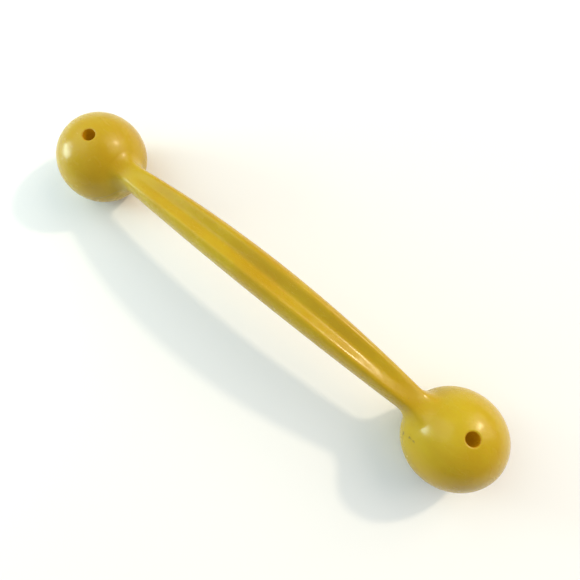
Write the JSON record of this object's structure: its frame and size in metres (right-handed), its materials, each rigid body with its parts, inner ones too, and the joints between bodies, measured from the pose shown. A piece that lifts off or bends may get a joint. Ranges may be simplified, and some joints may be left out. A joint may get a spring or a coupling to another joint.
{
  "type": "grab handle",
  "caption": "Bowed plastic grab handle with a hollow ball at each end, a screw hole through each ball and a finger groove along its front.",
  "frame": {"origin": "on the surface the handle is screwed to, half-way between the two screw holes", "axes": "+X along the handle, +Z away from the surface along the screw holes, +Y completes the right-handed frame"},
  "size_m": [0.1934, 0.0334, 0.0325],
  "materials": {
    "yellow_plastic": "satin injection-moulded yellow plastic",
    "tube_plastic": "the same yellow plastic, less light reaches it"
  },
  "bodies": {
    "root": {"front_shell": "yellow_plastic", "rear_shell": "yellow_plastic", "left_screw_tube": "tube_plastic", "right_screw_tube": "tube_plastic"}
  },
  "joints": []
}
